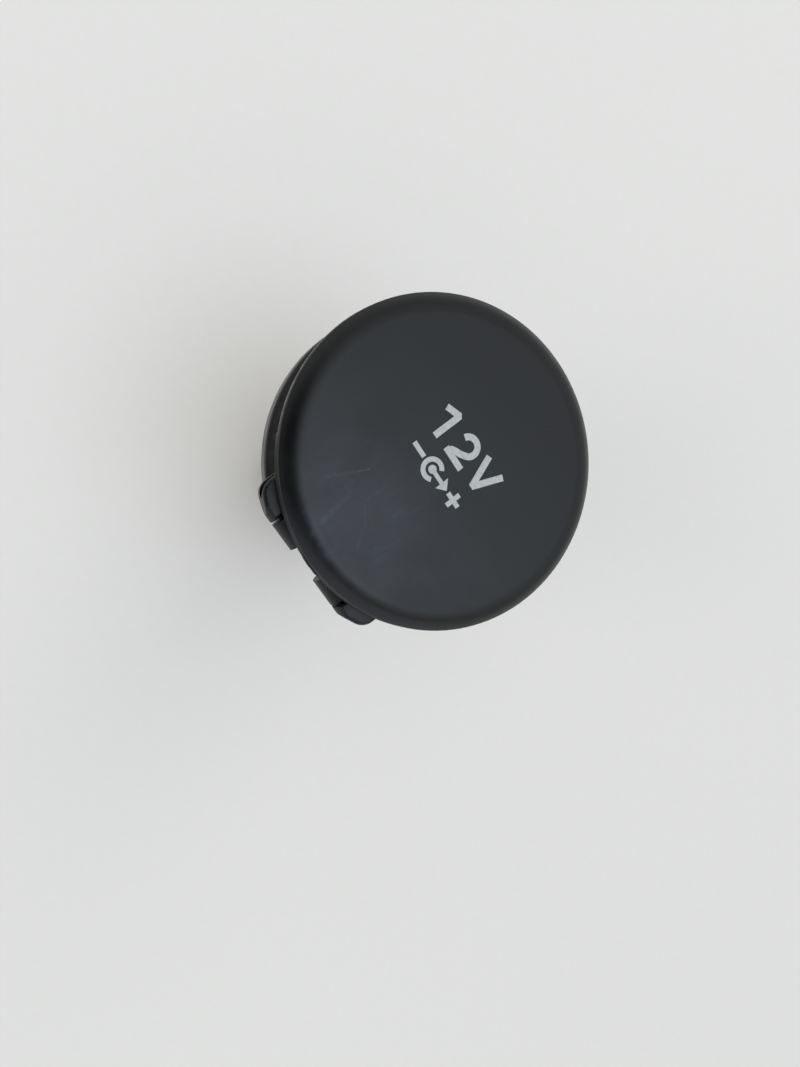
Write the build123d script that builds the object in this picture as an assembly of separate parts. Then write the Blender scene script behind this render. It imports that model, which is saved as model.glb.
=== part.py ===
"""Car 12 V power socket with a hinged round lid, modelled in millimetres.

The panel seat under the flange is z = 0, +Z points out of the panel, and the lid's hinge is at -Y.
"""

import os
from math import sqrt

from build123d import *

# Lid
LID_HEIGHT = 2.6
LID_TOP_WALL = 1.5
LID_SKIRT_WALL = 1.6
LID_SKIRT_GAP = 1.65
LID_BEVEL_WIDTH = 1.3
LID_BEVEL_DROP = 1.25
LID_EDGE_RADIUS = 3.0
LID_RIM_RADIUS = 0.3
LID_DRAFT = 0.1
LIP_STEP = 0.4
LIP_STEP_ANGLE = 45.0
PLUG_RING_GAP = 0.6
PLUG_RING_WALL = 1.2

# Housing in front of the panel
FLANGE_INSET = 0.25
FLANGE_THICKNESS = 2.2
FLANGE_EDGE_RADIUS = 0.4
FINGER_GAP = 6.7
NECK_WALL = 1.6
NECK_ROOT_RADIUS = 0.5
RIM_CLEARANCE = 0.3
RIM_LAND = 1.2
RIM_EDGE_RADIUS = 0.3
MOUTH_SETBACK = 1.5

# Hinge
HINGE_INSET = 1.35
KNUCKLE_RADIUS = 1.65
KNUCKLE_LIP_GAP = 0.25
KNUCKLE_SPACING = 4.4
KNUCKLE_LENGTH = 3.4
KNUCKLE_LUG_GAP = 0.35
LUG_LENGTH = 4.0
LUG_LIP_GAP = 0.55
LUG_REACH = 1.45
LUG_CORNER_RADIUS = 2.0
LUG_EDGE_RADIUS = 0.5
HINGE_NOTCH_GAP = 0.4
PIN_RADIUS = 0.75
PIN_RUNNING_GAP = 0.05
PIN_SEAT_GAP = 0.01
PIN_DEPTH = 2.8
PIN_END_GAP = 0.2
PIN_RECESS = 2.0
PIN_RECESS_RADIUS = 0.9
PIN_RECESS_SLOT = 1.2

# Sleeve behind the panel
SLEEVE_WALL = 1.6
SLEEVE_CHAMFER = 0.5
GROOVE_WIDTH = 1.45
GROOVE_RIB_COUNT = 8
GROOVE_RIB_WIDTH = 1.0
GROOVE_RIB_SETBACK = 0.8
PANEL_GRIP = 2.5
LATCH_COUNT = 4
LATCH_WIDTH = 5.0
LATCH_SLOT = 0.8
LATCH_BAND = 3.5
LATCH_REACH = 1.3
LATCH_NOSE = 0.8
LATCH_RAMP = 4.5
KEY_WIDTH = 2.2
KEY_HEIGHT = 1.0
KEY_LENGTH = 6.0

# Socket shell
BORE_RADIUS = 10.55
BORE_DEPTH = 33.0
SHELL_WALL = 0.6
SHELL_BEND = 0.5
SHELL_LIP_WIDTH = 1.6
SHELL_GAP = 0.2
CUP_STEP = 2.55
CUP_DEPTH = 5.0
TONGUE_WIDTH = 3.6
TONGUE_HEIGHT = 4.0
TONGUE_FLARE = 0.8
TONGUE_SLIT = 0.4
TONGUE_GAP = 0.3
TONGUE_MARGIN = 1.3

# Contact stack
SNUG_GAP = 0.1
INSULATOR_THICKNESS = 2.0
BUSH_RADIUS = 2.4
RIVET_RADIUS = 1.2
RIVET_HEAD_RADIUS = 2.1
RIVET_HEAD_HEIGHT = 0.7
RIVET_TAIL_RADIUS = 1.9
RIVET_TAIL_HEIGHT = 0.6
CONTACT_FOOT_RADIUS = 3.0
CONTACT_RADIUS = 5.6
CONTACT_RISE = 1.6
CONTACT_THICKNESS = 0.5
CONTACT_SLOT_COUNT = 4
CONTACT_SLOT_WIDTH = 1.2
WASHER_THICKNESS = 1.2
WASHER_BLADE_GAP = 0.3

# Blade terminals
BLADE_WIDTH = 6.3
BLADE_THICKNESS = 0.8
BLADE_SPACING = 9.0
BLADE_REACH = 8.5
BLADE_TIP_TAPER = 1.2
BLADE_HOLE_RADIUS = 0.9
BLADE_HOLE_SETBACK = 3.2
NEGATIVE_FOOT_RADIUS = 5.2
POSITIVE_FOOT_RADIUS = 3.4

# Connector shroud
SHROUD_GAP = 0.15
SHROUD_WALL = 1.2
SHROUD_SKIRT_GAP = 0.7
SHROUD_FLOOR = 1.5
SHROUD_BASE_RADIUS = 1.8
TAIL_CLEARANCE = 0.3
CONNECTOR_WALL = 1.3
CONNECTOR_SIDE_GAP = 2.0
CONNECTOR_END_GAP = 1.25
CONNECTOR_DEPTH = 11.0
CONNECTOR_INNER_RADIUS = 0.3
CATCH_WIDTH = 4.0
CATCH_HEIGHT = 1.1
CATCH_LENGTH = 3.0
CATCH_SETBACK = 2.6
RIB_WIDTH = 1.2
RIB_HEIGHT = 0.7
RIB_SPACING = 8.0

# Heights, from the panel seat up
FLANGE_TOP = FLANGE_THICKNESS
LIP_Z = FLANGE_TOP + FINGER_GAP
LID_TOP_Z = LIP_Z + LID_HEIGHT
LID_UNDER_Z = LID_TOP_Z - LID_TOP_WALL
RIM_Z = LID_UNDER_Z - RIM_CLEARANCE
MOUTH_Z = RIM_Z - MOUTH_SETBACK
LEDGE_Z = MOUTH_Z - SHELL_WALL
GROOVE_TOP_Z = LEDGE_Z - SLEEVE_WALL
HINGE_Z = LIP_Z - KNUCKLE_LIP_GAP - KNUCKLE_RADIUS

# Heights, from the mouth down
BORE_END_Z = MOUTH_Z - BORE_DEPTH
SHOULDER_Z = BORE_END_Z - SHELL_WALL
CUP_FLOOR_Z = BORE_END_Z - CUP_DEPTH
BASE_Z = CUP_FLOOR_Z - SHELL_WALL
INSULATOR_TOP_Z = CUP_FLOOR_Z + INSULATOR_THICKNESS
NEGATIVE_FOOT_Z = BASE_Z - BLADE_THICKNESS
WASHER_Z = NEGATIVE_FOOT_Z - WASHER_THICKNESS
POSITIVE_FOOT_Z = WASHER_Z - BLADE_THICKNESS
TAIL_Z = POSITIVE_FOOT_Z - RIVET_TAIL_HEIGHT
SHROUD_FLOOR_TOP_Z = TAIL_Z - TAIL_CLEARANCE
SHROUD_FLOOR_Z = SHROUD_FLOOR_TOP_Z - SHROUD_FLOOR
BLADE_TIP_Z = SHROUD_FLOOR_Z - BLADE_REACH
CONNECTOR_END_Z = SHROUD_FLOOR_Z - CONNECTOR_DEPTH

# Heights, from the end of the bore up
SHROUD_TONGUE_Z = BORE_END_Z + TONGUE_MARGIN + TONGUE_HEIGHT
SHROUD_TOP_Z = SHROUD_TONGUE_Z + TONGUE_GAP + SHROUD_WALL
SLEEVE_TONGUE_Z = SHROUD_TOP_Z + SHROUD_SKIRT_GAP + TONGUE_HEIGHT
SLEEVE_END_Z = SLEEVE_TONGUE_Z + TONGUE_GAP
LATCH_ROOT_Z = SLEEVE_END_Z + LATCH_BAND

# Radii, from the plug bore out
CUP_RADIUS = BORE_RADIUS - CUP_STEP
CUP_OUTSIDE = CUP_RADIUS + SHELL_WALL
SHELL_OUTSIDE = BORE_RADIUS + SHELL_WALL
SHELL_LIP_RADIUS = SHELL_OUTSIDE + SHELL_LIP_WIDTH
LIP_SEAT_RADIUS = SHELL_LIP_RADIUS + SHELL_GAP
SLEEVE_INSIDE = SHELL_OUTSIDE + SHELL_GAP
SLEEVE_OUTSIDE = SLEEVE_INSIDE + SLEEVE_WALL
NECK_INSIDE = SLEEVE_OUTSIDE + GROOVE_WIDTH
NECK_RADIUS = NECK_INSIDE + NECK_WALL
LID_RADIUS = NECK_RADIUS + LID_SKIRT_GAP + LID_SKIRT_WALL
FLANGE_RADIUS = LID_RADIUS - FLANGE_INSET
SHROUD_INSIDE = SHELL_OUTSIDE + SHROUD_GAP
SHROUD_OUTSIDE = SHROUD_INSIDE + SHROUD_WALL
BASE_HOLE_RADIUS = BUSH_RADIUS + SNUG_GAP
RIVET_HOLE_RADIUS = RIVET_RADIUS + SNUG_GAP

# Places across the axis
HINGE_Y = HINGE_INSET - LID_RADIUS
LUG_RADIUS = LID_RADIUS + LUG_REACH
KNUCKLE_START = KNUCKLE_SPACING / 2
KNUCKLE_END = KNUCKLE_START + KNUCKLE_LENGTH
LUG_START = KNUCKLE_END + KNUCKLE_LUG_GAP
LUG_END = LUG_START + LUG_LENGTH
PIN_INNER_END = KNUCKLE_END - PIN_DEPTH
HINGE_NOTCH_Y = HINGE_Y + KNUCKLE_RADIUS + HINGE_NOTCH_GAP
BLADE_INSIDE = BLADE_SPACING / 2
BLADE_OUTSIDE = BLADE_INSIDE + BLADE_THICKNESS
WASHER_RADIUS = BLADE_INSIDE - WASHER_BLADE_GAP
CONNECTOR_INSIDE_X = BLADE_OUTSIDE + CONNECTOR_SIDE_GAP
CONNECTOR_INSIDE_Y = BLADE_WIDTH / 2 + CONNECTOR_END_GAP
CONNECTOR_X = CONNECTOR_INSIDE_X + CONNECTOR_WALL
CONNECTOR_Y = CONNECTOR_INSIDE_Y + CONNECTOR_WALL

# Overlap that lets a joined feature merge with the wall that carries it
ROOT = 0.4


def turned(corners):
    """Solid of revolution about Z from (radius, height) or (radius, height, rounding) corners."""
    profile = Polygon(*[corner[:2] for corner in corners], align=None)
    for corner in corners:
        if len(corner) == 3:
            profile = fillet(profile.vertices().sort_by_distance(corner[:2])[0], corner[2])
    return revolve(Plane.XZ * profile, Axis.Z)


def block(x, y, z):
    """Box between (low, high) pairs on each axis."""
    size = Box(x[1] - x[0], y[1] - y[0], z[1] - z[0], align=(Align.MIN, Align.MIN, Align.MIN))
    return Pos(x[0], y[0], z[0]) * size


def radial_slab(corners, width):
    """Slab with (radius, height) corners, standing on the +X side and centred on it."""
    return extrude(Plane.XZ * Polygon(*corners, align=None), width / 2, both=True)


def around(shape, count, start=0.0):
    """Copies of a shape spaced evenly about Z."""
    return [Rot(0, 0, start + 360 * step / count) * shape for step in range(count)]


def hinge_rod(radius, start, end):
    """Rod on the hinge axis from one x to another."""
    rod = Cylinder(radius, abs(end - start))
    return Pos((start + end) / 2, HINGE_Y, HINGE_Z) * Rot(0, 90, 0) * rod


def hinge_lug():
    """Right-hand lug that stands out from the neck and holds one hinge pin."""
    strip = Pos((LUG_START + LUG_END) / 2, -LUG_RADIUS / 2) * Rectangle(LUG_LENGTH, LUG_RADIUS)
    plan = strip & Circle(LUG_RADIUS)
    corner = (LUG_END, -sqrt(LUG_RADIUS**2 - LUG_END**2))
    plan = fillet(plan.vertices().sort_by_distance(corner)[0], LUG_CORNER_RADIUS)
    plan -= Circle(NECK_RADIUS - NECK_WALL / 2)
    lug = extrude(plan, LIP_Z - LUG_LIP_GAP)
    lug = fillet(lug.faces().sort_by(Axis.Z)[-1].edges(), LUG_EDGE_RADIUS)
    web = Pos(HINGE_Y / 2, HINGE_Z) * Rectangle(-HINGE_Y, 2 * KNUCKLE_RADIUS)
    section = web + Pos(HINGE_Y, HINGE_Z) * Circle(KNUCKLE_RADIUS)
    lug &= extrude(Plane.YZ * section, LUG_RADIUS)
    lug -= hinge_rod(PIN_RADIUS + PIN_SEAT_GAP, LUG_START, LUG_END)
    recess = SlotCenterToCenter(PIN_RECESS_SLOT, 2 * PIN_RECESS_RADIUS)
    recess = Pos(HINGE_Y + PIN_RECESS_SLOT / 2, HINGE_Z) * recess
    return lug - extrude(Plane.YZ.offset(LUG_END - PIN_RECESS) * recess, LUG_RADIUS)


def latch_slot():
    """U-shaped cut that frees one latch arm in the sleeve wall."""
    radial = (SLEEVE_INSIDE - ROOT, SLEEVE_OUTSIDE + ROOT)
    half = LATCH_WIDTH / 2
    wide = half + LATCH_SLOT
    window = block(radial, (-wide, wide), (LATCH_ROOT_Z, LATCH_SLOT - PANEL_GRIP))
    arm = block(radial, (-half, half), (LATCH_ROOT_Z, -PANEL_GRIP))
    return window - arm


def latch_nose():
    """Ramped catch on a latch arm, with its shoulder facing the flange."""
    tip = SLEEVE_OUTSIDE + LATCH_REACH
    corners = [
        (SLEEVE_OUTSIDE - ROOT, -PANEL_GRIP),
        (tip, -PANEL_GRIP),
        (tip, -PANEL_GRIP - LATCH_NOSE),
        (SLEEVE_OUTSIDE - ROOT, -PANEL_GRIP - LATCH_NOSE - LATCH_RAMP),
    ]
    return radial_slab(corners, LATCH_WIDTH)


def groove_rib():
    """Rib that ties the neck to the sleeve inside the moulded groove."""
    radial = (SLEEVE_OUTSIDE - ROOT, NECK_INSIDE + ROOT)
    half = GROOVE_RIB_WIDTH / 2
    return block(radial, (-half, half), (GROOVE_RIB_SETBACK, GROOVE_TOP_Z + ROOT))


def panel_key():
    """Rib on the sleeve that keeps the socket from turning in the panel."""
    radial = (SLEEVE_OUTSIDE - ROOT, SLEEVE_OUTSIDE + KEY_HEIGHT)
    return block(radial, (-KEY_WIDTH / 2, KEY_WIDTH / 2), (-KEY_LENGTH, 0))


def housing():
    """Flange, neck, hinge lugs and latching sleeve, moulded in one piece."""
    body = turned(
        [
            (SLEEVE_INSIDE, SLEEVE_END_Z),
            (SLEEVE_OUTSIDE - SLEEVE_CHAMFER, SLEEVE_END_Z),
            (SLEEVE_OUTSIDE, SLEEVE_END_Z + SLEEVE_CHAMFER),
            (SLEEVE_OUTSIDE, GROOVE_TOP_Z),
            (NECK_INSIDE, GROOVE_TOP_Z),
            (NECK_INSIDE, 0),
            (FLANGE_RADIUS, 0),
            (FLANGE_RADIUS, FLANGE_TOP, FLANGE_EDGE_RADIUS),
            (NECK_RADIUS, FLANGE_TOP, NECK_ROOT_RADIUS),
            (NECK_RADIUS, RIM_Z, RIM_EDGE_RADIUS),
            (NECK_RADIUS - RIM_LAND, RIM_Z),
            (LIP_SEAT_RADIUS, MOUTH_Z),
            (LIP_SEAT_RADIUS, LEDGE_Z),
            (SLEEVE_INSIDE, LEDGE_Z, SHELL_BEND + SHELL_GAP),
        ]
    )
    body -= block((-LUG_START, LUG_START), (-2 * LUG_RADIUS, HINGE_NOTCH_Y), (-ROOT, LIP_Z))
    lug = hinge_lug()
    body += [lug, mirror(lug, Plane.YZ)]
    body += around(groove_rib(), GROOVE_RIB_COUNT)
    body -= around(latch_slot(), LATCH_COUNT, 180 / LATCH_COUNT)
    body += around(latch_nose(), LATCH_COUNT, 180 / LATCH_COUNT)
    body += around(panel_key(), 2)
    return body


def lid_knuckle(side):
    """Barrel on the hinge axis with the arm that carries it under the lid's skirt."""
    arm = Polygon(
        (HINGE_Y - KNUCKLE_RADIUS, HINGE_Z),
        (HINGE_Y + KNUCKLE_RADIUS, HINGE_Z),
        (HINGE_Y + LID_SKIRT_WALL, LID_UNDER_Z + ROOT),
        (HINGE_Y, LIP_Z + LIP_STEP),
        align=None,
    )
    section = arm + Pos(HINGE_Y, HINGE_Z) * Circle(KNUCKLE_RADIUS)
    start = KNUCKLE_START if side > 0 else -KNUCKLE_END
    knuckle = extrude(Plane.YZ.offset(start) * section, KNUCKLE_LENGTH)
    socket_end = PIN_INNER_END - PIN_END_GAP
    return knuckle - hinge_rod(PIN_RADIUS + PIN_RUNNING_GAP, side * socket_end, side * LUG_START)


def lid():
    """Round cap with a softly bevelled edge, a skirt, a plug ring under it and two hinge knuckles."""
    plug_outside = BORE_RADIUS - PLUG_RING_GAP
    plug_inside = plug_outside - PLUG_RING_WALL
    skirt_inside = LID_RADIUS - LID_SKIRT_WALL
    skirt_top = LID_RADIUS - LID_DRAFT
    cap = turned(
        [
            (0, LID_TOP_Z),
            (skirt_top - LID_BEVEL_WIDTH, LID_TOP_Z, LID_EDGE_RADIUS),
            (skirt_top, LID_TOP_Z - LID_BEVEL_DROP, LID_RIM_RADIUS),
            (LID_RADIUS, LIP_Z),
            (skirt_inside, LIP_Z),
            (skirt_inside, LID_UNDER_Z),
            (plug_outside, LID_UNDER_Z),
            (plug_outside, LEDGE_Z),
            (plug_inside, LEDGE_Z),
            (plug_inside, LID_UNDER_Z),
            (0, LID_UNDER_Z),
        ]
    )
    step = Pos(LID_RADIUS, LIP_Z) * Rectangle(4 * LID_SKIRT_WALL, 2 * LIP_STEP)
    raised = revolve(Plane.XZ * step, Axis.Z, 360 - 2 * LIP_STEP_ANGLE)
    cap -= Rot(0, 0, LIP_STEP_ANGLE - 90) * raised
    return cap + [lid_knuckle(side) for side in (-1, 1)]


def hinge_pin(side):
    """Pin pressed into a lug, with its inner end running in the lid's knuckle."""
    return hinge_rod(PIN_RADIUS, side * PIN_INNER_END, side * (LUG_END - PIN_RECESS))


def tongue_window(top, grow=0.0):
    """Cut through a round wall on the +X side for a sprung tongue."""
    half = TONGUE_WIDTH / 2 + TONGUE_SLIT + grow
    radial = (CUP_RADIUS, SHROUD_OUTSIDE + ROOT)
    return block(radial, (-half, half), (top - TONGUE_HEIGHT - grow, top + TONGUE_SLIT + grow))


def tongue(top):
    """Strip lanced out of the shell wall, sprung outwards at its upper end."""
    root = top - TONGUE_HEIGHT
    corners = [
        (BORE_RADIUS, root - ROOT),
        (SHELL_OUTSIDE, root - ROOT),
        (SHELL_OUTSIDE, root),
        (SHELL_OUTSIDE + TONGUE_FLARE, top),
        (BORE_RADIUS + TONGUE_FLARE, top),
        (BORE_RADIUS, root),
    ]
    return radial_slab(corners, TONGUE_WIDTH)


def socket_shell():
    """Drawn steel cup with a rolled lip, a stepped base and four lanced tongues."""
    outer_bend = SHELL_BEND + SHELL_WALL
    shell = turned(
        [
            (SHELL_LIP_RADIUS, MOUTH_Z),
            (BORE_RADIUS, MOUTH_Z, outer_bend),
            (BORE_RADIUS, BORE_END_Z),
            (CUP_RADIUS, BORE_END_Z, SHELL_BEND),
            (CUP_RADIUS, CUP_FLOOR_Z),
            (BASE_HOLE_RADIUS, CUP_FLOOR_Z),
            (BASE_HOLE_RADIUS, BASE_Z),
            (CUP_OUTSIDE, BASE_Z, SHELL_BEND),
            (CUP_OUTSIDE, SHOULDER_Z),
            (SHELL_OUTSIDE, SHOULDER_Z, SHELL_BEND),
            (SHELL_OUTSIDE, LEDGE_Z, SHELL_BEND),
            (SHELL_LIP_RADIUS, LEDGE_Z),
        ]
    )
    for top, start in ((SLEEVE_TONGUE_Z, 0), (SHROUD_TONGUE_Z, 90)):
        shell -= around(tongue_window(top), 2, start)
        shell += around(tongue(top), 2, start)
    return shell


def base_insulator():
    """Disc in the shell's cup, with a bush through the shell's base."""
    outside = CUP_RADIUS - SNUG_GAP
    return turned(
        [
            (RIVET_HOLE_RADIUS, INSULATOR_TOP_Z),
            (outside, INSULATOR_TOP_Z),
            (outside, CUP_FLOOR_Z),
            (BUSH_RADIUS, CUP_FLOOR_Z),
            (BUSH_RADIUS, NEGATIVE_FOOT_Z),
            (RIVET_HOLE_RADIUS, NEGATIVE_FOOT_Z),
        ]
    )


def centre_contact():
    """Star of sprung petals round a flat foot, which the rivet holds down."""
    foot = INSULATOR_TOP_Z
    star = turned(
        [
            (RIVET_HOLE_RADIUS, foot),
            (CONTACT_FOOT_RADIUS, foot),
            (CONTACT_RADIUS, foot + CONTACT_RISE),
            (CONTACT_RADIUS, foot + CONTACT_RISE + CONTACT_THICKNESS),
            (CONTACT_FOOT_RADIUS, foot + CONTACT_THICKNESS),
            (RIVET_HOLE_RADIUS, foot + CONTACT_THICKNESS),
        ]
    )
    half = CONTACT_SLOT_WIDTH / 2
    heights = (foot - ROOT, foot + CONTACT_RISE + 2 * CONTACT_THICKNESS)
    slot = block((CONTACT_FOOT_RADIUS, CONTACT_RADIUS + ROOT), (-half, half), heights)
    return star - around(slot, CONTACT_SLOT_COUNT, 180 / CONTACT_SLOT_COUNT)


def contact_rivet():
    """Rivet that clamps the contact, the insulators, the shell and both terminals."""
    seat = INSULATOR_TOP_Z + CONTACT_THICKNESS
    head_top = seat + RIVET_HEAD_HEIGHT
    return turned(
        [
            (0, head_top),
            (RIVET_RADIUS, head_top),
            (RIVET_HEAD_RADIUS, seat + RIVET_HEAD_HEIGHT / 2),
            (RIVET_HEAD_RADIUS, seat),
            (RIVET_RADIUS, seat),
            (RIVET_RADIUS, POSITIVE_FOOT_Z),
            (RIVET_TAIL_RADIUS, POSITIVE_FOOT_Z),
            (RIVET_TAIL_RADIUS, POSITIVE_FOOT_Z - RIVET_TAIL_HEIGHT / 2),
            (RIVET_RADIUS, TAIL_Z),
            (0, TAIL_Z),
        ]
    )


def rear_insulator():
    """Washer between the two terminals."""
    return turned(
        [
            (RIVET_HOLE_RADIUS, NEGATIVE_FOOT_Z),
            (WASHER_RADIUS, NEGATIVE_FOOT_Z),
            (WASHER_RADIUS, WASHER_Z),
            (RIVET_HOLE_RADIUS, WASHER_Z),
        ]
    )


def blade_terminal(foot_z, foot_radius, hole_radius, side):
    """Flat terminal: a round foot on the axis, bent down into a tapered blade."""
    half = BLADE_WIDTH / 2
    strip = Pos(BLADE_OUTSIDE / 2, 0) * Rectangle(BLADE_OUTSIDE, BLADE_WIDTH)
    foot = Circle(foot_radius) + strip
    foot -= Pos(BLADE_OUTSIDE + foot_radius, 0) * Rectangle(2 * foot_radius, 4 * foot_radius)
    foot -= Circle(hole_radius)
    terminal = extrude(Pos(0, 0, foot_z) * foot, BLADE_THICKNESS)
    blade = Polygon(
        (-half, foot_z + BLADE_THICKNESS),
        (-half, BLADE_TIP_Z + BLADE_TIP_TAPER),
        (BLADE_TIP_TAPER - half, BLADE_TIP_Z),
        (half - BLADE_TIP_TAPER, BLADE_TIP_Z),
        (half, BLADE_TIP_Z + BLADE_TIP_TAPER),
        (half, foot_z + BLADE_THICKNESS),
        align=None,
    )
    blade -= Pos(0, BLADE_TIP_Z + BLADE_HOLE_SETBACK) * Circle(BLADE_HOLE_RADIUS)
    terminal += extrude(Plane.YZ.offset(BLADE_INSIDE) * blade, BLADE_THICKNESS)
    bend = terminal.edges().filter_by(Axis.Y).sort_by_distance((BLADE_OUTSIDE, 0, foot_z + BLADE_THICKNESS))
    terminal = fillet(bend[0], BLADE_THICKNESS * 0.9)
    return terminal if side > 0 else Rot(0, 0, 180) * terminal


def connector_catch():
    """Ramp on the connector that the plug's latch clicks behind."""
    top = SHROUD_FLOOR_Z - CATCH_SETBACK
    corners = [
        (CONNECTOR_Y - ROOT, top),
        (CONNECTOR_Y + CATCH_HEIGHT, top),
        (CONNECTOR_Y, top - CATCH_LENGTH),
        (CONNECTOR_Y - ROOT, top - CATCH_LENGTH),
    ]
    return Rot(0, 0, 90) * radial_slab(corners, CATCH_WIDTH)


def connector_shroud():
    """Moulded rear cap on the shell with the two-blade connector below it."""
    cup_bore = CUP_OUTSIDE + SHROUD_GAP
    shroud = turned(
        [
            (SHROUD_OUTSIDE, SHROUD_TOP_Z),
            (SHROUD_INSIDE, SHROUD_TOP_Z),
            (SHROUD_INSIDE, SHOULDER_Z),
            (cup_bore, SHOULDER_Z),
            (cup_bore, SHROUD_FLOOR_TOP_Z),
            (0, SHROUD_FLOOR_TOP_Z),
            (0, SHROUD_FLOOR_Z),
            (SHROUD_OUTSIDE, SHROUD_FLOOR_Z, SHROUD_BASE_RADIUS),
        ]
    )
    outer_corner = CONNECTOR_INNER_RADIUS + CONNECTOR_WALL
    outline = RectangleRounded(2 * CONNECTOR_X, 2 * CONNECTOR_Y, outer_corner)
    cavity = RectangleRounded(2 * CONNECTOR_INSIDE_X, 2 * CONNECTOR_INSIDE_Y, CONNECTOR_INNER_RADIUS)
    shroud += extrude(Pos(0, 0, CONNECTOR_END_Z) * (outline - cavity), CONNECTOR_DEPTH + ROOT)
    shroud += connector_catch()
    for x in (-RIB_SPACING / 2, RIB_SPACING / 2):
        rib_x = (x - RIB_WIDTH / 2, x + RIB_WIDTH / 2)
        rib_y = (-CONNECTOR_Y - RIB_HEIGHT, ROOT - CONNECTOR_Y)
        shroud += block(rib_x, rib_y, (CONNECTOR_END_Z, SHROUD_FLOOR_Z + ROOT))
    half = BLADE_WIDTH / 2 + SNUG_GAP
    slot_x = (BLADE_INSIDE - SNUG_GAP, BLADE_OUTSIDE + SNUG_GAP)
    slot = block(slot_x, (-half, half), (SHROUD_FLOOR_Z - ROOT, SHROUD_FLOOR_TOP_Z + ROOT))
    shroud -= around(slot, 2)
    return shroud - around(tongue_window(SHROUD_TONGUE_Z, TONGUE_GAP), 2, 90)


PIECES = {
    "housing": housing(),
    "lid": lid(),
    "hinge_pin_left": hinge_pin(-1),
    "hinge_pin_right": hinge_pin(1),
    "socket_shell": socket_shell(),
    "base_insulator": base_insulator(),
    "centre_contact": centre_contact(),
    "contact_rivet": contact_rivet(),
    "negative_terminal": blade_terminal(NEGATIVE_FOOT_Z, NEGATIVE_FOOT_RADIUS, BASE_HOLE_RADIUS, 1),
    "rear_insulator": rear_insulator(),
    "positive_terminal": blade_terminal(POSITIVE_FOOT_Z, POSITIVE_FOOT_RADIUS, RIVET_HOLE_RADIUS, -1),
    "connector_shroud": connector_shroud(),
}

os.makedirs("parts", exist_ok=True)
for node, piece in PIECES.items():
    export_step(piece, f"parts/{node}.step")
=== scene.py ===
"""Dressed scene of a car 12 V power socket with a hinged lid: finishes, marks, floor, light, camera."""

from math import cos, radians, sin

import bmesh
import bpy
from mathutils import Matrix, Vector, noise


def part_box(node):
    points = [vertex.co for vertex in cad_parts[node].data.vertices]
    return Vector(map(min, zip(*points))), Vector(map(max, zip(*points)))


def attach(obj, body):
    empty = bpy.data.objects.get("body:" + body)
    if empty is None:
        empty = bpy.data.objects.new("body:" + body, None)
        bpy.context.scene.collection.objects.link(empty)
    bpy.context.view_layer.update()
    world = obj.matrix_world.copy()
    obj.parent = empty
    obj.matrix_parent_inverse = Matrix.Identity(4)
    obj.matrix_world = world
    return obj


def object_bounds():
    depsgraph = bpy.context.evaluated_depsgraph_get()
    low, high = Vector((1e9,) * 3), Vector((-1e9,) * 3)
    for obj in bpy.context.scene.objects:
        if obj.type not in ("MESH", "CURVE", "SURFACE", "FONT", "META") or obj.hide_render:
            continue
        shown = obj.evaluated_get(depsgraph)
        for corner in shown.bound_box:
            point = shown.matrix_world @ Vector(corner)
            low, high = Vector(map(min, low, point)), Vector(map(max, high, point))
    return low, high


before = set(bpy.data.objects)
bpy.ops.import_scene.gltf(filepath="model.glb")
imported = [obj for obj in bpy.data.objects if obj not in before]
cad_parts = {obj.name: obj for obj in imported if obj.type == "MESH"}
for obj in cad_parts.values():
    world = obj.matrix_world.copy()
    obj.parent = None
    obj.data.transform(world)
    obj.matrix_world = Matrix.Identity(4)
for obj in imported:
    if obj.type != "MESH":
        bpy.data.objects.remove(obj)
cad_low, cad_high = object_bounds()
lid_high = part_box("lid")[1]

# Sizes are in millimetres and are scaled to metres where a mesh is made
MM = 0.001
LID_TOP = lid_high.z / MM
LID_RADIUS = lid_high.y / MM
LID_TOP_WALL = 1.5
LID_DEPTH = 2.6
LIP = LID_TOP - LID_DEPTH
SHELL_RADIUS = 10.5
FLOOR = cad_low.z / MM
FLOOR_RADIUS = 2500.0
FLOOR_SIDES = 96

# Camera, measured against the outlines of the lid and the flange
CAMERA_PLACE = (-18.48, -31.62, 93.41)
CAMERA_FORWARD = (0.2441, 0.2542, -0.9358)
CAMERA_UP = (-0.7992, 0.5993, -0.0457)
CAMERA_LENS = 26.85
CAMERA_SENSOR = 36.0
CAMERA_NEAR = 5.0

# Room light: its level at the horizon and overhead, and the glow over the lid
SKY_LEVELS = (0.64, 0.62)
SKY_TINT = (0.97, 0.98, 0.98, 1)
GLOW_WAY = (0.22, 0.02, 1.0)
GLOW_TIGHTNESS = 25.0
GLOW_STRENGTH = 2.9
GLOW_TINT = (0.86, 0.96, 1.08, 1)

# Shades in reflections: direction, nearness where each begins and is full, and the light left in it
SKY_SHADES = (
    ((-0.46, -0.62, 0.63), 0.74, 0.88, 0.0),
    ((0.06, -0.56, 0.83), 0.88, 0.97, 0.25),
)

# Soft lamps: name, place and power
LAMP_SIZE = 500.0
LAMP_COLOUR = (1.0, 0.985, 0.96)
LAMPS = (
    ("window", (-150, 650, 300), 0.9),
    ("fill", (-430, -600, 300), 1.55),
)

# Printed marks on the lid, from its centre, with the text running along +X
INK_HEIGHT = 0.03
INK_ROOT = 0.02
INK_STEP = 0.0005
FIGURE_STROKE = 0.78
FIGURE_BASE = 0.3
FIGURE_TOP = 4.5
BOWL_RADIUS = 1.13
SIGN_STROKE = 0.58
SIGN_ROW = -2.1
PLUS_PLACE = 3.65
PLUS_ARM = 1.0
RING_RADIUS = 1.14
DOT_RADIUS = 0.5
SHAFT_STROKE = 0.5
ARROW_HALF = 0.95
ARC_STEP = 8.0

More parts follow.
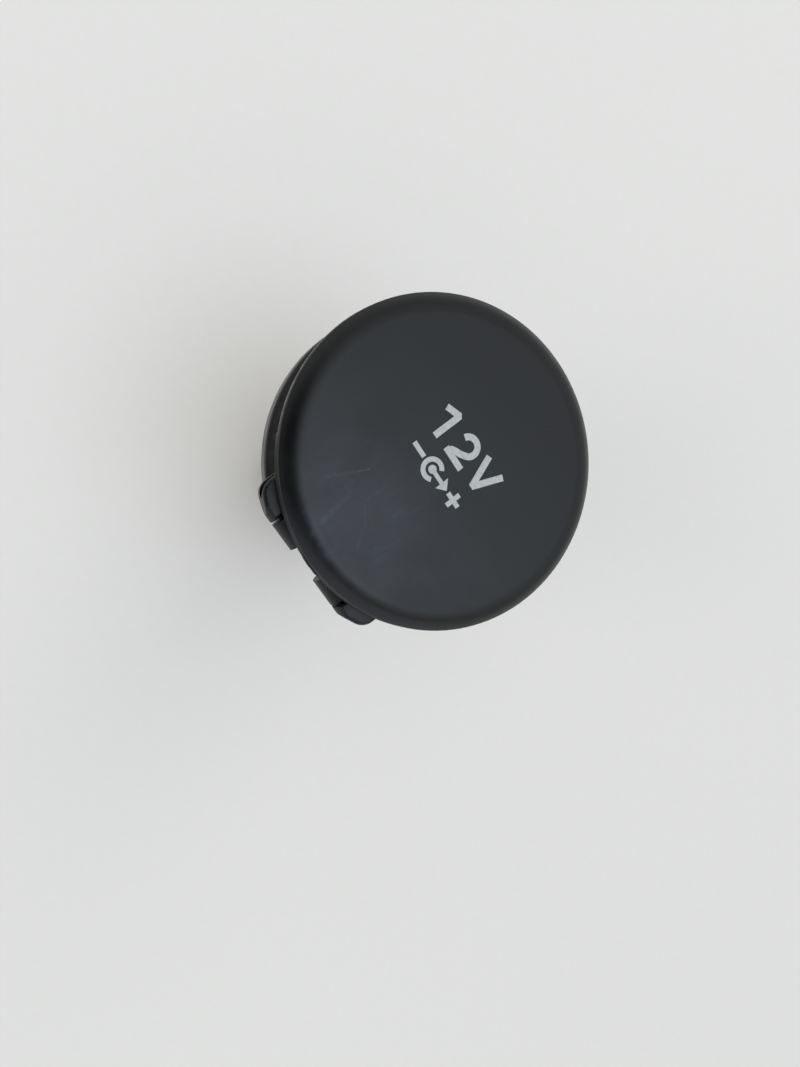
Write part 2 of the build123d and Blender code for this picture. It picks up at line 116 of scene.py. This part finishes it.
# Moulding marks under the lid and on its skirt
EJECTOR_COUNT = 6
EJECTOR_RING = 13.7
EJECTOR_RADIUS = 1.25
EJECTOR_HEIGHT = 0.06
EJECTOR_SIDES = 40
GATE_WIDTH = 3.4
GATE_HEIGHT = 0.9
GATE_PROUD = 0.22
GATE_SINK = 0.07
GATE_COLUMNS = 36
GATE_ROWS = 10
GATE_GRAIN = 3.1
GATE_SEED = 7.0

# Levels on the lid, from low to high, over which one finish fades into the next
TOP_EDGE = (LID_TOP - 0.3, LID_TOP - 0.05)
SKIRT_TOP = (LID_TOP - 1.6, LID_TOP - 1.1)
SKIRT_FOOT = (LIP - 0.2, LIP)

# Wear and painted light on the lid: the worn patch of its top, the painted reflection on its shoulder and
# the painted highlight on a stretch of its lip
WORN_PLACE = (-1.5, -12.5, LID_TOP)
WORN_FADE = (3.0, 11.0)
SHOULDER_REFLECTION_PLACE = (6.5, -17.9, LIP + 1.5)
SHOULDER_REFLECTION_FADE = (7.0, 14.0)
SHOULDER_REFLECTION_TOP = (LID_TOP - 0.45, LID_TOP - 0.22)
LIP_HIGHLIGHT_PLACE = (-18.0, -7.0, LIP)
LIP_HIGHLIGHT_FADE = (4.0, 11.0)
LIP_HIGHLIGHT_TOP = (LIP + 0.6, LIP + 1.3)
LIP_HIGHLIGHT_OUTSIDE = (18.4, 18.8)

# Scratches on the lid's top: start, end, width and strength
SCRATCHES = (
    ((-5.38, -9.29), (-4.87, -8.07), 0.09, 0.45),
    ((-5.37, -8.83), (-4.89, -8.52), 0.07, 0.30),
    ((-7.08, -12.52), (-5.38, -9.29), 0.30, 0.10),
    ((-6.17, -12.29), (-5.90, -12.76), 0.15, 0.09),
    ((-2.01, -10.80), (0.20, -12.30), 0.20, 0.06),
    ((-3.33, -15.72), (-3.83, -12.81), 0.60, 0.10),
    ((1.17, -14.24), (0.14, -12.74), 0.20, 0.07),
    ((4.10, 12.50), (4.30, 13.30), 0.07, 0.20),
    ((-11.60, 7.50), (-11.40, 7.75), 0.09, 0.10),
)

# Fades on the housing: its lugs painted darker as painted shade, the paler zone on the flange top and round
# the neck, and the painted highlight on the edge of the flange
LUG_SIDE = (-16.2, -15.0)
LUG_FOOT = (3.4, 4.2)
PALER_ZONE_EDGE = (18.2, 18.9)
PALER_ZONE_FOOT = (1.4, 2.1)
PALER_ZONE_TOP = (2.4, 6.0)
FLANGE_HIGHLIGHT_EDGE = (18.6, 18.9)
FLANGE_HIGHLIGHT_TOP = (1.9, 2.3)


def put(tree, kind, inputs=None, **settings):
    """Node with its settings, and its inputs set to values or linked to other nodes' outputs."""
    node = tree.nodes.new(kind)
    for key, value in settings.items():
        setattr(node, key, value)
    for socket, value in (inputs or {}).items():
        if isinstance(value, bpy.types.NodeSocket):
            tree.links.new(value, node.inputs[socket])
        else:
            node.inputs[socket].default_value = value
    return node


def maths(tree, operation, a, b):
    """One sum on two values."""
    return put(tree, "ShaderNodeMath", {0: a, 1: b}, operation=operation).outputs[0]


def product(tree, first, *others):
    """Several values multiplied together."""
    for other in others:
        first = maths(tree, "MULTIPLY", first, other)
    return first


def vector(tree, operation, a, b):
    """One sum on two vectors that gives a vector."""
    return put(tree, "ShaderNodeVectorMath", {0: a, 1: b}, operation=operation).outputs["Vector"]


def measure(tree, operation, a, b):
    """One sum on two vectors that gives a number, such as the distance between them."""
    return put(tree, "ShaderNodeVectorMath", {0: a, 1: b}, operation=operation).outputs["Value"]


def place_in_mm(tree):
    """The piece's own coordinates, in millimetres."""
    coords = put(tree, "ShaderNodeTexCoord").outputs["Object"]
    return vector(tree, "MULTIPLY", coords, (1 / MM,) * 3)


def axes(tree, place):
    """X, Y and Z of a place, by name."""
    return put(tree, "ShaderNodeSeparateXYZ", {0: place}).outputs


def flattened(tree, place):
    """Place with its height taken out."""
    return vector(tree, "MULTIPLY", place, (1, 1, 0))


def from_axis(tree, place):
    """Distance from the socket's axis."""
    return measure(tree, "DISTANCE", flattened(tree, place), (0, 0, 0))


def rolled_up(tree, place, radius, rise):
    """Coordinates on a cylinder round the axis, for lines that run up its wall and out over its lip."""
    across = {0: flattened(tree, place)}
    way = put(tree, "ShaderNodeVectorMath", across, operation="NORMALIZE").outputs["Vector"]
    ring = vector(tree, "MULTIPLY", way, (radius,) * 3)
    return vector(tree, "ADD", ring, vector(tree, "MULTIPLY", place, (0, 0, rise)))


def stretched(tree, place, scale):
    """Coordinates scaled apart along each axis, for streaks along the axis with the least."""
    return put(tree, "ShaderNodeMapping", {"Vector": place, "Scale": scale}).outputs["Vector"]


def grain(tree, place, scale, detail):
    """Soft random pattern with the given number of features in a millimetre."""
    inputs = {"Vector": place, "Scale": scale, "Detail": detail, "Roughness": 0.55}
    return put(tree, "ShaderNodeTexNoise", inputs).outputs["Fac"]


def between(tree, value, low, high, start=0.0, end=1.0, easing="SMOOTHSTEP"):
    """Value eased from start to end as it goes from low to high."""
    inputs = {"Value": value, "From Min": low, "From Max": high, "To Min": start, "To Max": end}
    return put(tree, "ShaderNodeMapRange", inputs, interpolation_type=easing).outputs["Result"]


def fading(tree, value, low, high):
    """Share that falls from 1 to 0 as a value goes from low to high."""
    return between(tree, value, low, high, 1.0, 0.0)


def tinted(tree, share, a, b):
    """Colour mixed from a to b by share."""
    return put(tree, "ShaderNodeMix", {0: share, 6: a, 7: b}, data_type="RGBA").outputs[2]


def raised(tree, height, distance, strength, under=None):
    """Normal bumped by a height pattern, over another normal where there is one."""
    inputs = {"Height": height, "Distance": distance * MM, "Strength": strength}
    if under:
        inputs["Normal"] = under
    return put(tree, "ShaderNodeBump", inputs).outputs["Normal"]


def finish(name, build):
    """Material whose build function wires a surface shader and returns its inputs."""
    material = bpy.data.materials.new(name)
    material.use_nodes = True
    tree = material.node_tree
    tree.nodes.clear()
    shader = put(tree, "ShaderNodeBsdfPrincipled", build(tree))
    put(tree, "ShaderNodeOutputMaterial", {"Surface": shader.outputs["BSDF"]})
    return material


def scratch(tree, place, start, end, width):
    """Share of a straight scratch across the lid, 1 on its line and 0 beyond its width."""
    first = Vector((*start, 0))
    run = Vector((*end, 0)) - first
    away = vector(tree, "SUBTRACT", flattened(tree, place), first)
    along = measure(tree, "DOT_PRODUCT", away, run / run.length_squared)
    along = put(tree, "ShaderNodeClamp", {"Value": along}).outputs[0]
    reach = {0: run, "Scale": along}
    nearest = put(tree, "ShaderNodeVectorMath", reach, operation="SCALE").outputs["Vector"]
    return fading(tree, measure(tree, "DISTANCE", away, nearest), 0.0, width)


def scratches(tree, place):
    """Share of all the scratches on the lid, broken up along their lines."""
    scored = 0.0
    for start, end, width, strength in SCRATCHES:
        line = product(tree, scratch(tree, place, start, end, width), strength)
        scored = maths(tree, "MAXIMUM", line, scored)
    broken = between(tree, grain(tree, place, 1.8, 4.0), 0.35, 0.60, 0.3, 1.0)
    return product(tree, scored, broken)


def painted_shoulder_reflection(tree, place, height):
    """Share of the painted reflection on the lid's shoulder near the hinge, from its lip up."""
    near = fading(tree, measure(tree, "DISTANCE", place, SHOULDER_REFLECTION_PLACE), *SHOULDER_REFLECTION_FADE)
    return product(tree, near, fading(tree, height, *SHOULDER_REFLECTION_TOP), between(tree, height, *SKIRT_FOOT))


def painted_lip_highlight(tree, place, height):
    """Share of the painted highlight on a stretch of the lip, on the outside of the skirt alone."""
    near = fading(tree, measure(tree, "DISTANCE", place, LIP_HIGHLIGHT_PLACE), *LIP_HIGHLIGHT_FADE)
    low = fading(tree, height, *LIP_HIGHLIGHT_TOP)
    patchy = between(tree, grain(tree, place, 0.9, 4.0), 0.35, 0.65, 0.5, 1.0)
    return product(tree, near, low, patchy, between(tree, from_axis(tree, place), *LIP_HIGHLIGHT_OUTSIDE))


def lid_plastic(tree):
    """Black moulding, satin on top and matt on the skirt, with painted shade on its shoulder and skirt,
    scuffs, fine scratches, a painted reflection on the shoulder and a painted highlight on the lip.
    """
    place = place_in_mm(tree)
    height = axes(tree, place)["Z"]
    on_top = between(tree, height, *TOP_EDGE)
    skirt = product(tree, fading(tree, height, *SKIRT_TOP), between(tree, height, *SKIRT_FOOT))
    blotches = grain(tree, place, 0.22, 4.0)
    colour = tinted(tree, blotches, (0.0057, 0.0068, 0.0080, 1), (0.0080, 0.0093, 0.0110, 1))
    # Below the top's edge the shoulder and skirt are painted darker, as painted shade.
    colour = tinted(tree, on_top, (0.0026, 0.0030, 0.0035, 1), colour)
    worn = fading(tree, measure(tree, "DISTANCE", place, WORN_PLACE), *WORN_FADE)
    clouds = between(tree, grain(tree, place, 0.45, 5.0), 0.30, 0.70, 0.20, 0.65)
    colour = tinted(tree, product(tree, worn, clouds), colour, (0.022, 0.026, 0.034, 1))
    streaks = grain(tree, stretched(tree, place, (1.0, 0.3, 1.0)), 0.7, 4.0)
    scuffs = product(tree, between(tree, streaks, 0.50, 0.72), worn, on_top)
    colour = tinted(tree, product(tree, scuffs, 0.8), colour, (0.036, 0.043, 0.056, 1))
    scored = product(tree, scratches(tree, place), on_top)
    colour = tinted(tree, scored, colour, (0.135, 0.150, 0.170, 1))
    # A bluish pale stretch of the shoulder near the hinge is a painted reflection.
    shoulder_reflection = painted_shoulder_reflection(tree, place, height)
    colour = tinted(tree, shoulder_reflection, colour, (0.0122, 0.0125, 0.0165, 1))
    # A pale stretch of the lip is a painted highlight.
    painted_highlight = product(tree, painted_lip_highlight(tree, place, height), skirt)
    colour = tinted(tree, painted_highlight, colour, (0.19, 0.19, 0.185, 1))
    dull = between(tree, blotches, 0.3, 0.7, 0.34, 0.42)
    dull = maths(tree, "ADD", dull, product(tree, scuffs, 0.12))
    dull = maths(tree, "ADD", dull, product(tree, skirt, 0.4))
    pits = raised(tree, grain(tree, place, 7.0, 2.0), 0.012, 0.30)
    return {
        "Base Color": colour,
        "Roughness": dull,
        "Specular IOR Level": 0.41,
        "Normal": raised(tree, scored, 0.01, 0.4, pits),
    }


def housing_plastic(tree):
    """Black moulding with a coarser grain, lugs painted darker as painted shade, paler round the neck and
    on the flange top, and a painted highlight on the flange edge.
    """
    place = place_in_mm(tree)
    height = axes(tree, place)["Z"]
    radius = from_axis(tree, place)
    blotches = grain(tree, place, 0.3, 5.0)
    colour = tinted(tree, blotches, (0.009, 0.009, 0.0095, 1), (0.014, 0.014, 0.015, 1))
    # The lugs on the hinge side are painted darker, as painted shade.
    hinge_side = fading(tree, axes(tree, place)["Y"], *LUG_SIDE)
    shaded_lugs = product(tree, hinge_side, between(tree, height, *LUG_FOOT))
    colour = tinted(tree, shaded_lugs, colour, (0.0035, 0.0036, 0.0040, 1))
    # Paler on the flange top and the neck under the lid's overhang.
    paler_zone = product(tree, between(tree, height, *PALER_ZONE_FOOT), fading(tree, height, *PALER_ZONE_TOP))
    paler_zone = product(tree, paler_zone, fading(tree, radius, *PALER_ZONE_EDGE))
    # The flange's outer edge is painted pale, as a painted highlight.
    painted_highlight = product(tree, between(tree, radius, *FLANGE_HIGHLIGHT_EDGE), fading(tree, height, *FLANGE_HIGHLIGHT_TOP))
    patchy = between(tree, grain(tree, place, 1.2, 6.0), 0.30, 0.65, 0.45, 0.85)
    pale = product(tree, maths(tree, "MAXIMUM", paler_zone, painted_highlight), patchy)
    return {
        "Base Color": tinted(tree, pale, colour, (0.062, 0.062, 0.059, 1)),
        "Roughness": between(tree, blotches, 0.3, 0.7, 0.38, 0.50),
        "Specular IOR Level": 0.45,
        "Normal": raised(tree, grain(tree, place, 6.0, 2.0), 0.015, 0.35),
    }


def shroud_plastic(tree):
    """Satin black moulding with faint flow lines along its height."""
    place = place_in_mm(tree)
    flow = grain(tree, stretched(tree, place, (1.0, 1.0, 0.12)), 0.8, 4.0)
    return {
        "Base Color": tinted(tree, flow, (0.012, 0.012, 0.013, 1), (0.026, 0.026, 0.027, 1)),
        "Roughness": between(tree, flow, 0.3, 0.7, 0.32, 0.46),
        "Specular IOR Level": 0.5,
        "Normal": raised(tree, grain(tree, place, 5.0, 3.0), 0.012, 0.3),
    }


def insulator_plastic(tree):
    """Dark brown heat-resistant moulding with mottled filler."""
    place = place_in_mm(tree)
    mottle = grain(tree, place, 1.8, 6.0)
    filler = between(tree, mottle, 0.35, 0.65)
    return {
        "Base Color": tinted(tree, filler, (0.045, 0.022, 0.012, 1), (0.12, 0.065, 0.035, 1)),
        "Roughness": between(tree, mottle, 0.3, 0.7, 0.38, 0.6),
        "Normal": raised(tree, mottle, 0.03, 0.4),
    }


def drawn_steel(tree):
    """Nickel plated steel with draw lines up the cup and faint stains."""
    place = place_in_mm(tree)
    lines = grain(tree, rolled_up(tree, place, SHELL_RADIUS, 0.03), 4.0, 3.0)
    stains = between(tree, grain(tree, place, 0.35, 5.0), 0.45, 0.75)
    colour = tinted(tree, lines, (0.57, 0.56, 0.54, 1), (0.67, 0.66, 0.64, 1))
    return {
        "Base Color": tinted(tree, product(tree, stains, 0.4), colour, (0.42, 0.38, 0.32, 1)),
        "Metallic": 1.0,
        "Roughness": between(tree, lines, 0.3, 0.7, 0.25, 0.29),
        "Normal": raised(tree, lines, 0.002, 0.2),
    }


def pin_wire(tree):
    """Blackened drawn wire with fine lines along the pin."""
    place = place_in_mm(tree)
    lines = grain(tree, stretched(tree, place, (0.15, 6.0, 6.0)), 2.0, 3.0)
    return {
        "Base Color": tinted(tree, lines, (0.014, 0.014, 0.016, 1), (0.034, 0.034, 0.037, 1)),
        "Metallic": 1.0,
        "Roughness": between(tree, lines, 0.3, 0.7, 0.34, 0.50),
        "Normal": raised(tree, lines, 0.006, 0.3),
    }


def stamped_brass(tree):
    """Stamped brass, bright with browned patches and fine rolling lines."""
    place = place_in_mm(tree)
    tarnish = between(tree, grain(tree, place, 0.9, 6.0), 0.4, 0.7)
    rolled = grain(tree, stretched(tree, place, (0.4, 5.0, 5.0)), 1.6, 3.0)
    return {
        "Base Color": tinted(tree, tarnish, (0.72, 0.52, 0.24, 1), (0.50, 0.33, 0.14, 1)),
        "Metallic": 1.0,
        "Roughness": between(tree, tarnish, 0.0, 1.0, 0.22, 0.42),
        "Normal": raised(tree, rolled, 0.006, 0.3),
    }


def tinned_strip(tree):
    """Tin plated brass strip with rolling lines and slightly yellowed patches."""
    place = place_in_mm(tree)
    rolled = grain(tree, stretched(tree, place, (5.0, 5.0, 0.2)), 1.8, 3.0)
    patches = between(tree, grain(tree, place, 0.7, 5.0), 0.45, 0.7)
    return {
        "Base Color": tinted(tree, patches, (0.66, 0.65, 0.62, 1), (0.60, 0.55, 0.44, 1)),
        "Metallic": 1.0,
        "Roughness": between(tree, rolled, 0.3, 0.7, 0.28, 0.44),
        "Normal": raised(tree, rolled, 0.006, 0.3),
    }


def mark_ink(tree):
    """Pale grey printing ink, a little thin in places."""
    place = place_in_mm(tree)
    thin = between(tree, grain(tree, place, 2.5, 5.0), 0.35, 0.75)
    return {
        "Base Color": tinted(tree, thin, (0.50, 0.513, 0.515, 1), (0.40, 0.415, 0.418, 1)),
        "Roughness": between(tree, thin, 0.0, 1.0, 0.5, 0.65),
        "Specular IOR Level": 0.35,
        "Normal": raised(tree, grain(tree, place, 8.0, 2.0), 0.008, 0.3),
    }


def floor_paper(tree):
    """Pale paper with a barely visible tooth."""
    tooth = grain(tree, place_in_mm(tree), 0.6, 5.0)
    return {
        "Base Color": tinted(tree, tooth, (0.80, 0.783, 0.75, 1), (0.83, 0.813, 0.78, 1)),
        "Roughness": 0.9,
        "Specular IOR Level": 0.1,
    }


FINISHES = {
    "housing": ("housing_plastic", housing_plastic),
    "lid": ("lid_plastic", lid_plastic),
    "hinge_pin_left": ("pin_wire", pin_wire),
    "hinge_pin_right": ("pin_wire", pin_wire),
    "socket_shell": ("drawn_steel", drawn_steel),
    "base_insulator": ("insulator_plastic", insulator_plastic),
    "rear_insulator": ("insulator_plastic", insulator_plastic),
    "centre_contact": ("stamped_brass", stamped_brass),
    "contact_rivet": ("stamped_brass", stamped_brass),
    "negative_terminal": ("tinned_strip", tinned_strip),
    "positive_terminal": ("tinned_strip", tinned_strip),
    "connector_shroud": ("shroud_plastic", shroud_plastic),
}


def dress_nodes():
    """Gives every CAD node its finish, one material for each finish."""
    made = {}
    for node, (name, build) in FINISHES.items():
        if name not in made:
            made[name] = finish(name, build)
        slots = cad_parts[node].data.materials
        slots.clear()
        slots.append(made[name])
    return made


def arc(centre, radius, start, end):
    """Points along an arc, in degrees, in the direction from start to end."""
    count = max(2, round(abs(end - start) / ARC_STEP))
    angles = [radians(start + (end - start) * step / count) for step in range(count + 1)]
    return [(centre[0] + radius * cos(a), centre[1] + radius * sin(a)) for a in angles]


def stroke(points, width):
    """Outline of a flat pen stroke along points, with its outer corners cut off square."""
    path = [Vector(p) for p in points]
    sides = []
    for hand in (1, -1):
        line = []
        for i, p in enumerate(path):
            before = (p - path[i - 1]).normalized() if i else None
            after = (path[i + 1] - p).normalized() if i < len(path) - 1 else None
            steps = [s for s in (before, after) if s]
            offsets = [Vector((-s.y, s.x)) * hand * width / 2 for s in steps]
            turn = before.cross(after) * hand if before and after else 0.0
            if len(offsets) == 2 and turn < -0.5:
                line += [p + offset for offset in offsets]
            elif len(offsets) == 2:
                middle = (offsets[0] + offsets[1]).normalized()
                line.append(p + middle * (width / 2) / middle.dot(offsets[0].normalized()))
            else:
                line.append(p + offsets[0])
        sides.append(line)
    return sides[0] + sides[1][::-1]


def figure_outlines():
    """Outlines of the voltage figures, drawn with a plain pen."""
    half = FIGURE_STROKE / 2
    stem = -3.49
    one = [(-5.25, 3.42), (stem, FIGURE_TOP - half), (stem, FIGURE_BASE)]
    two = arc((-0.11, FIGURE_TOP - half - BOWL_RADIUS), BOWL_RADIUS, 168, -38)
    two += [(0.42, 1.96), (-0.10, 1.62), (-0.62, 1.40), (-1.04, 1.12), (-1.25, 0.78)]
    base = [(-1.64, FIGURE_BASE + half), (1.42, FIGURE_BASE + half)]
    vee = [(2.29, FIGURE_TOP), (3.77, FIGURE_BASE + half), (5.25, FIGURE_TOP)]
    return [stroke(line, FIGURE_STROKE) for line in (one, two, base, vee)]


def sign_outlines():
    """Outlines of the polarity sign: minus, open ring, centre dot with an arrow, plus."""
    ring = (-0.6, SIGN_ROW)
    minus = [(-4.28, SIGN_ROW), (-2.3, SIGN_ROW)]
    level_bar = [(PLUS_PLACE - PLUS_ARM, SIGN_ROW), (PLUS_PLACE + PLUS_ARM, SIGN_ROW)]
    upright_bar = [(PLUS_PLACE, SIGN_ROW - PLUS_ARM), (PLUS_PLACE, SIGN_ROW + PLUS_ARM)]
    outlines = [stroke(line, SIGN_STROKE) for line in (minus, level_bar, upright_bar)]
    outlines.append(stroke(arc(ring, RING_RADIUS, 45, 315), SIGN_STROKE))
    outlines.append(arc(ring, DOT_RADIUS, 0, 360)[:-1])
    outlines.append(stroke([ring, (1.4, SIGN_ROW)], SHAFT_STROKE))
    outlines.append([(1.3, SIGN_ROW - ARROW_HALF), (2.37, SIGN_ROW), (1.3, SIGN_ROW + ARROW_HALF)])
    return outlines


def meshed(name, shape):
    """Mesh made from a finished shape, which is used up."""
    mesh = bpy.data.meshes.new(name)
    shape.to_mesh(mesh)
    shape.free()
    return mesh


def mesh_piece(name, mesh, body, material):
    """Object for a finished mesh, at the origin, riding on a body."""
    piece = bpy.data.objects.new(name, mesh)
    bpy.context.scene.collection.objects.link(piece)
    mesh.materials.append(material)
    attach(piece, body)


def lid_marks(material):
    """Printed figures and polarity sign, as thin layers of ink on the lid's top, a hair apart in height."""
    shape = bmesh.new()
    bottom = LID_TOP - INK_ROOT
    for level, outline in enumerate(figure_outlines() + sign_outlines()):
        face = shape.faces.new([shape.verts.new((x * MM, y * MM, bottom * MM)) for x, y in outline])
        lift = INK_ROOT + INK_HEIGHT + level * INK_STEP
        top = bmesh.ops.extrude_face_region(shape, geom=[face])["geom"]
        verts = [v for v in top if isinstance(v, bmesh.types.BMVert)]
        bmesh.ops.translate(shape, verts=verts, vec=(0, 0, lift * MM))
    bmesh.ops.recalc_face_normals(shape, faces=shape.faces)
    mesh_piece("lid_marks", meshed("lid_marks", shape), "lid", material)


def ejector_tree():
    """Geometry nodes for a ring of shallow round moulding marks."""
    tree = bpy.data.node_groups.new("ejector_marks", "GeometryNodeTree")
    tree.interface.new_socket("Geometry", in_out="OUTPUT", socket_type="NodeSocketGeometry")
    for name, kind in (("Count", "Int"), ("Ring Radius", "Float"), ("Mark Radius", "Float"),
                       ("Mark Height", "Float"), ("Level", "Vector"), ("Finish", "Material")):
        tree.interface.new_socket(name, in_out="INPUT", socket_type=f"NodeSocket{kind}")
    sizes = put(tree, "NodeGroupInput").outputs
    ring = put(tree, "GeometryNodeMeshCircle", {"Vertices": sizes["Count"], "Radius": sizes["Ring Radius"]})
    mark = put(tree, "GeometryNodeMeshCylinder",
               {"Vertices": EJECTOR_SIDES, "Radius": sizes["Mark Radius"], "Depth": sizes["Mark Height"]})
    spread = put(tree, "GeometryNodeInstanceOnPoints",
                 {"Points": ring.outputs["Mesh"], "Instance": mark.outputs["Mesh"]})
    moved = put(tree, "GeometryNodeTransform",
                {"Geometry": spread.outputs["Instances"], "Translation": sizes["Level"]})
    real = put(tree, "GeometryNodeRealizeInstances", {"Geometry": moved.outputs["Geometry"]})
    dressed = put(tree, "GeometryNodeSetMaterial",
                  {"Geometry": real.outputs["Geometry"], "Material": sizes["Finish"]})
    put(tree, "NodeGroupOutput", {0: dressed.outputs["Geometry"]})
    return tree


def ejector_marks(material):
    """Ring of ejector marks under the lid, between its plug ring and its skirt."""
    tree = ejector_tree()
    source = bpy.data.objects.new("ejector_source", bpy.data.meshes.new("ejector_source"))
    bpy.context.scene.collection.objects.link(source)
    modifier = source.modifiers.new("marks", "NODES")
    modifier.node_group = tree
    values = {
        "Count": EJECTOR_COUNT,
        "Ring Radius": EJECTOR_RING * MM,
        "Mark Radius": EJECTOR_RADIUS * MM,
        "Mark Height": EJECTOR_HEIGHT * MM,
        "Level": (0.0, 0.0, (LID_TOP - LID_TOP_WALL) * MM),
        "Finish": material,
    }
    for socket in tree.interface.items_tree:
        if socket.in_out == "INPUT":
            modifier[socket.identifier] = values[socket.name]
    seen = source.evaluated_get(bpy.context.evaluated_depsgraph_get())
    mesh = bpy.data.meshes.new_from_object(seen)
    bpy.data.objects.remove(source)
    mesh.materials.clear()
    mesh_piece("ejector_marks", mesh, "lid", material)


def gate_spot(across, up):
    """Point of the gate mark, from -1 to 1 across and up it, sunk in the skirt all round its edge."""
    x = across * GATE_WIDTH / 2
    z = LIP + GATE_HEIGHT / 2 + up * GATE_HEIGHT / 2
    fade = max(0.0, 1 - across**4) * max(0.0, 1 - up**4)
    rough = 0.55 + 0.45 * noise.noise(Vector((x * GATE_GRAIN, z * GATE_GRAIN, GATE_SEED)))
    out = LID_RADIUS - GATE_SINK + (GATE_SINK + GATE_PROUD * rough) * fade
    angle = x / LID_RADIUS
    return (out * sin(angle) * MM, -out * cos(angle) * MM, z * MM)


def gate_mark(material):
    """Rough spot on the skirt between the knuckles, where the moulding's gate was broken off."""
    shape = bmesh.new()
    rises = [j / GATE_ROWS * 2 - 1 for j in range(GATE_ROWS + 1)]
    grid = []
    for i in range(GATE_COLUMNS + 1):
        across = i / GATE_COLUMNS * 2 - 1
        grid.append([shape.verts.new(gate_spot(across, up)) for up in rises])
    for i in range(GATE_COLUMNS):
        for j in range(GATE_ROWS):
            shape.faces.new((grid[i][j], grid[i + 1][j], grid[i + 1][j + 1], grid[i][j + 1]))
    rim = [line[0] for line in grid] + grid[-1][1:]
    rim += [line[-1] for line in grid[-2::-1]] + grid[0][-2:0:-1]
    shape.faces.new(rim)
    bmesh.ops.recalc_face_normals(shape, faces=shape.faces)
    mesh_piece("gate_mark", meshed("gate_mark", shape), "lid", material)


def floor():
    """Large round sheet that the socket stands on."""
    shape = bmesh.new()
    bmesh.ops.create_circle(shape, cap_ends=True, segments=FLOOR_SIDES, radius=FLOOR_RADIUS * MM)
    bmesh.ops.translate(shape, verts=shape.verts, vec=(0, 0, FLOOR * MM))
    mesh = meshed("floor", shape)
    mesh.materials.append(finish("floor_paper", floor_paper))
    sheet = bpy.data.objects.new("floor", mesh)
    bpy.context.scene.collection.objects.link(sheet)


def nearness(tree, toward, middle):
    """How near a direction is to another one, 1 where they are the same."""
    return measure(tree, "DOT_PRODUCT", toward, Vector(middle).normalized())


def sky():
    """Soft room light with a glow overhead, and with shades that show in reflections alone."""
    world = bpy.data.worlds.new("room")
    bpy.context.scene.world = world
    world.cycles.sampling_method = "NONE"
    world.use_nodes = True
    tree = world.node_tree
    tree.nodes.clear()
    toward = put(tree, "ShaderNodeTexCoord").outputs["Generated"]
    level = between(tree, axes(tree, toward)["Z"], 0.0, 1.0, *SKY_LEVELS, "LINEAR")
    overhead = maths(tree, "MAXIMUM", nearness(tree, toward, GLOW_WAY), 0.0)
    glow = product(tree, maths(tree, "POWER", overhead, GLOW_TIGHTNESS), GLOW_STRENGTH)
    tint = tinted(tree, maths(tree, "MINIMUM", glow, 1.0), SKY_TINT, GLOW_TINT)
    level = maths(tree, "ADD", level, glow)
    mirrored = put(tree, "ShaderNodeLightPath").outputs["Is Glossy Ray"]
    for middle, begin, full, left in SKY_SHADES:
        shade = between(tree, nearness(tree, toward, middle), begin, full, 0.0, 1.0 - left)
        shade = product(tree, shade, mirrored)
        level = product(tree, level, maths(tree, "SUBTRACT", 1.0, shade))
    light = put(tree, "ShaderNodeBackground", {"Color": tint, "Strength": level})
    put(tree, "ShaderNodeOutputWorld", {"Surface": light.outputs["Background"]})


def lamp(name, place, power):
    """Square soft lamp that faces the lid and stays out of reflections."""
    data = bpy.data.lights.new(name, "AREA")
    data.size = LAMP_SIZE * MM
    data.energy = power
    data.color = LAMP_COLOUR
    holder = bpy.data.objects.new(name, data)
    holder.location = Vector(place) * MM
    holder.rotation_euler = (-Vector(place)).to_track_quat("-Z", "Y").to_euler()
    holder.visible_glossy = False
    bpy.context.scene.collection.objects.link(holder)


def camera():
    """Camera at the photograph's place, looking down on the lid."""
    data = bpy.data.cameras.new("camera")
    data.lens = CAMERA_LENS
    data.sensor_width = CAMERA_SENSOR
    data.clip_start = CAMERA_NEAR * MM
    holder = bpy.data.objects.new("camera", data)
    forward = Vector(CAMERA_FORWARD).normalized()
    right = forward.cross(Vector(CAMERA_UP)).normalized()
    turn = Matrix((right, right.cross(forward), -forward)).transposed()
    holder.matrix_world = Matrix.Translation(Vector(CAMERA_PLACE) * MM) @ turn.to_4x4()
    bpy.context.scene.collection.objects.link(holder)
    bpy.context.scene.camera = holder


made = dress_nodes()
lid_marks(finish("mark_ink", mark_ink))
ejector_marks(made["lid_plastic"])
gate_mark(made["lid_plastic"])
floor()
sky()
for lamp_row in LAMPS:
    lamp(*lamp_row)
camera()
bpy.context.scene.view_settings.view_transform = "Standard"
